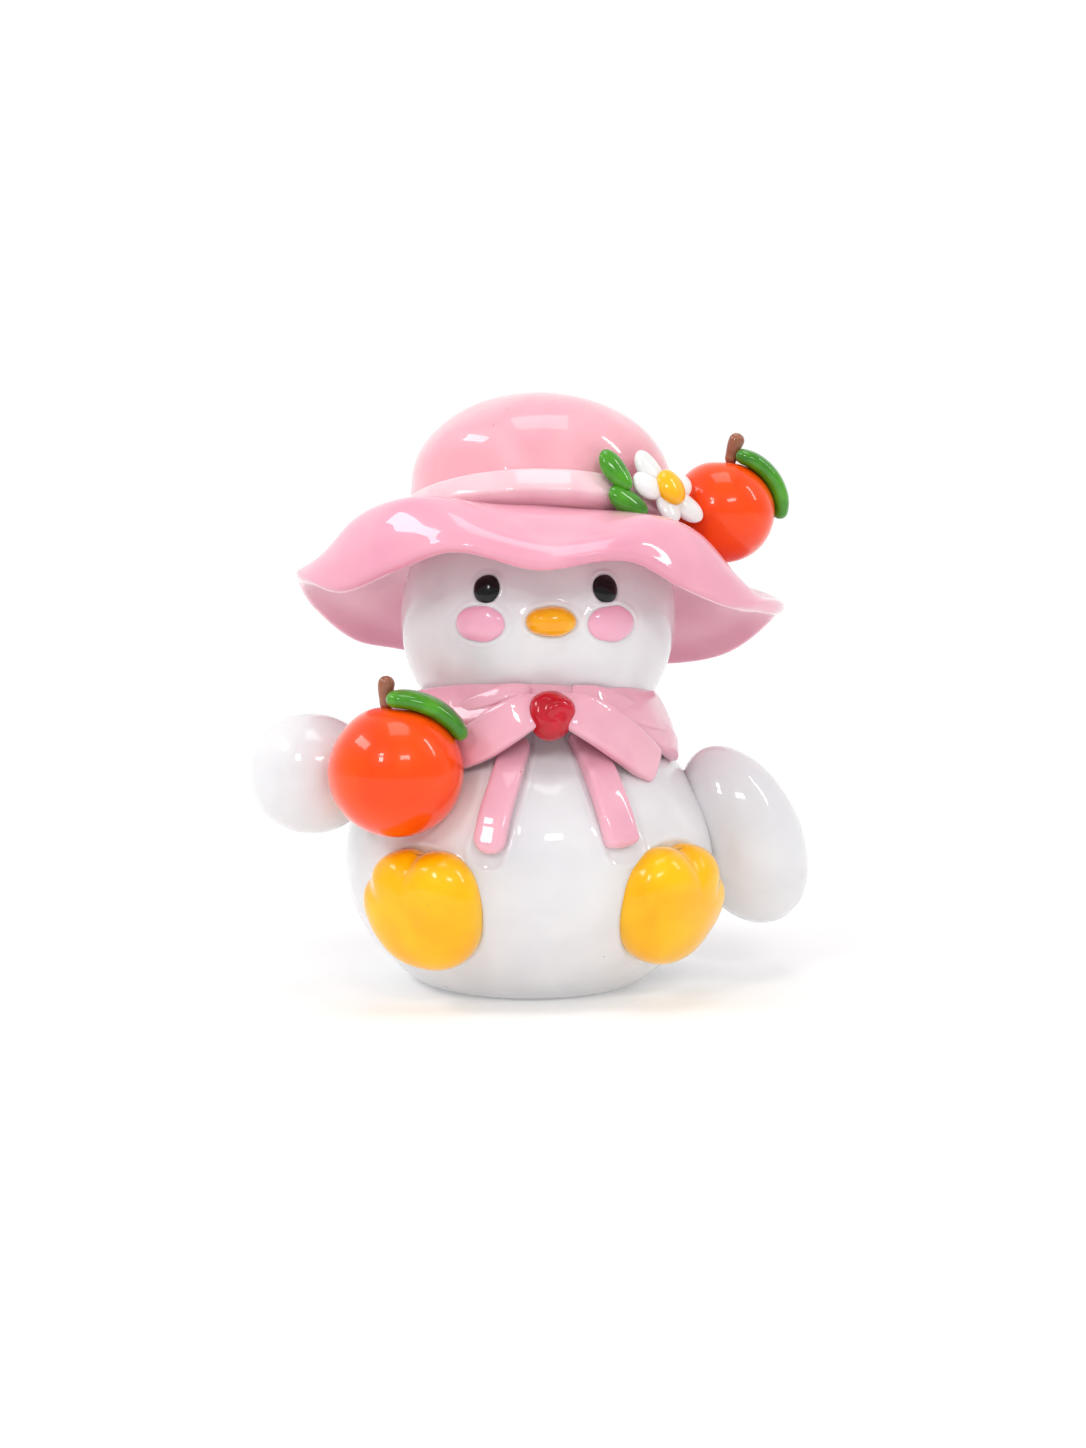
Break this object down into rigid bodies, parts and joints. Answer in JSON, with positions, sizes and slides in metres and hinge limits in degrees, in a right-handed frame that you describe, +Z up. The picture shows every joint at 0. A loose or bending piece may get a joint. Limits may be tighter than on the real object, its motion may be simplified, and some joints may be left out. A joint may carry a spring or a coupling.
{
  "type": "snow-duck ornament",
  "caption": "Free-standing cast-resin snow-duck ornament: round body, ball head, wavy-brimmed sun hat, scarf with bow, ball hands, toed feet and fruit.",
  "frame": {"origin": "centre of the flat underside that the figure stands on", "axes": "+Z up along the body and head, the figure faces -Y, +X towards the egg-shaped hand"},
  "size_m": [0.1119, 0.0912, 0.1177],
  "materials": {
    "beak_orange_resin": "yellow-orange, domed, high gloss",
    "milk_white_resin": "milky white cast resin under a thick clear coat",
    "scarf_pink_resin": "pink, glossy clear coat",
    "cheek_pink_resin": "pink, domed, glossy clear coat",
    "black_resin": "black, domed, high gloss",
    "flower_yellow_resin": "yellow, high gloss",
    "yellow_resin": "warm yellow, high gloss",
    "pale_pink_resin": "paler pink, thick glossy clear coat",
    "pink_resin": "soft pink, thick glossy clear coat",
    "fruit_orange_resin": "bright orange, high gloss",
    "leaf_green_resin": "leaf green, high gloss",
    "stem_brown_resin": "reddish brown, high gloss",
    "dowel_wood": "plain beech dowel, unseen",
    "white_resin": "opaque white, glossy clear coat",
    "red_resin": "deep red, high gloss",
    "stopper_rubber": "pale soft rubber"
  },
  "bodies": {
    "figure": {"beak": "beak_orange_resin", "body_shell": "milk_white_resin", "bow_loop_left": "scarf_pink_resin", "bow_loop_right": "scarf_pink_resin", "bow_tail_left": "scarf_pink_resin", "bow_tail_right": "scarf_pink_resin", "cheek_left": "cheek_pink_resin", "cheek_right": "cheek_pink_resin", "eye_left": "black_resin", "eye_right": "black_resin", "flower_centre": "flower_yellow_resin", "foot_left": "yellow_resin", "foot_right": "yellow_resin", "hand_left": "milk_white_resin", "hand_right": "milk_white_resin", "hat_band": "pale_pink_resin", "hat_brim": "pink_resin", "hat_crown": "pink_resin", "hat_fruit": "fruit_orange_resin", "hat_fruit_leaf": "leaf_green_resin", "hat_fruit_stem": "stem_brown_resin", "hat_leaf_lower": "leaf_green_resin", "hat_leaf_upper": "leaf_green_resin", "head": "milk_white_resin", "held_fruit": "fruit_orange_resin", "held_fruit_leaf": "leaf_green_resin", "held_fruit_stem": "stem_brown_resin", "neck_dowel": "dowel_wood", "petal_1": "white_resin", "petal_2": "white_resin", "petal_3": "white_resin", "petal_4": "white_resin", "petal_5": "white_resin", "rose_bead": "red_resin", "scarf_collar": "scarf_pink_resin"},
    "stopper": {"stopper": "stopper_rubber"}
  },
  "joints": [
    {"name": "stopper_pull", "type": "slide", "parent": "figure", "child": "stopper", "axis": [0, 0, -1], "range_m": [0, 0.02]}
  ]
}
